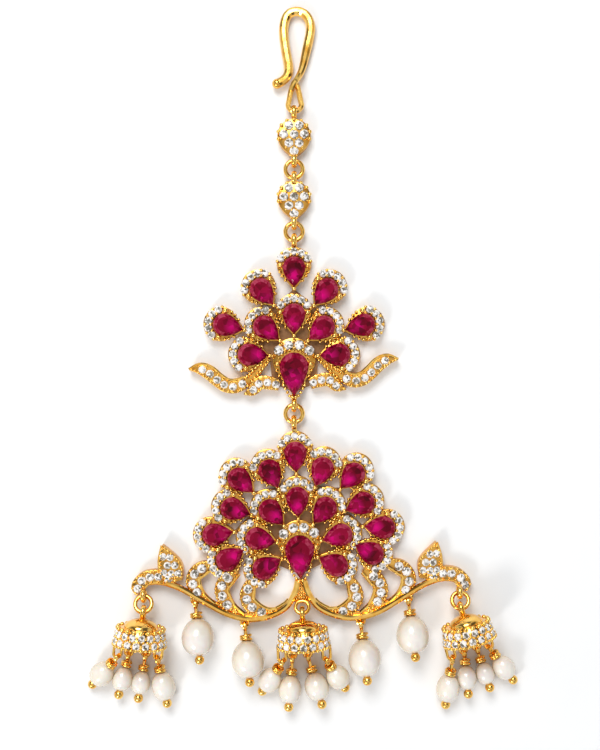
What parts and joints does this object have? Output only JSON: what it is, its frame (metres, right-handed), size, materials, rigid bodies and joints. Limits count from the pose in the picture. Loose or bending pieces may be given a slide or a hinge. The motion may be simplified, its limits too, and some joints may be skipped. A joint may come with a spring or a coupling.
{
  "type": "jhoomar forehead ornament",
  "caption": "Gold forehead ornament with a hair hook, pave drops, two ruby fans, a scrolled gallery, hanging bells and pearls.",
  "frame": {"origin": "middle of the ornament's outline, on the surface that it lies on", "axes": "+X to the right as seen from the front, +Y towards the hair hook, +Z out of the front"},
  "size_m": [0.0742, 0.1208, 0.0095],
  "materials": {
    "gold": "polished yellow gold with beaded and pave set edges",
    "ruby": "clear deep crimson, faceted",
    "pearl": "white pearl lustre with a warm edge"
  },
  "bodies": {
    "root": {"bell_centre": "gold", "bell_left": "gold", "bell_right": "gold", "bell_ring_left": "gold", "bell_ring_right": "gold", "hair_hook": "gold", "link_ring_1": "gold", "link_ring_2": "gold", "link_ring_3": "gold", "lower_fan": "gold", "lower_ruby_big": "ruby", "lower_ruby_centre": "ruby", "lower_ruby_foot_left": "ruby", "lower_ruby_foot_right": "ruby", "lower_ruby_high_left": "ruby", "lower_ruby_high_right": "ruby", "lower_ruby_inner_left": "ruby", "lower_ruby_inner_right": "ruby", "lower_ruby_low_left": "ruby", "lower_ruby_low_right": "ruby", "lower_ruby_outer_left": "ruby", "lower_ruby_outer_right": "ruby", "lower_ruby_shoulder_left": "ruby", "lower_ruby_shoulder_right": "ruby", "lower_ruby_side_left": "ruby", "lower_ruby_side_right": "ruby", "lower_ruby_top": "ruby", "lower_ruby_waist_left": "ruby", "lower_ruby_waist_right": "ruby", "pave_drop_1": "gold", "pave_drop_2": "gold", "pearl_centre_1": "pearl", "pearl_centre_2": "pearl", "pearl_centre_3": "pearl", "pearl_centre_4": "pearl", "pearl_left_1": "pearl", "pearl_left_2": "pearl", "pearl_left_3": "pearl", "pearl_left_4": "pearl", "pearl_rail_left_1": "pearl", "pearl_rail_left_2": "pearl", "pearl_rail_right_1": "pearl", "pearl_rail_right_2": "pearl", "pearl_right_1": "pearl", "pearl_right_2": "pearl", "pearl_right_3": "pearl", "pearl_right_4": "pearl", "upper_fan": "gold", "upper_ruby_big": "ruby", "upper_ruby_centre": "ruby", "upper_ruby_high_left": "ruby", "upper_ruby_high_right": "ruby", "upper_ruby_low_left": "ruby", "upper_ruby_low_right": "ruby", "upper_ruby_middle_left": "ruby", "upper_ruby_middle_right": "ruby", "upper_ruby_outer_left": "ruby", "upper_ruby_outer_right": "ruby", "upper_ruby_top": "ruby"}
  },
  "joints": []
}
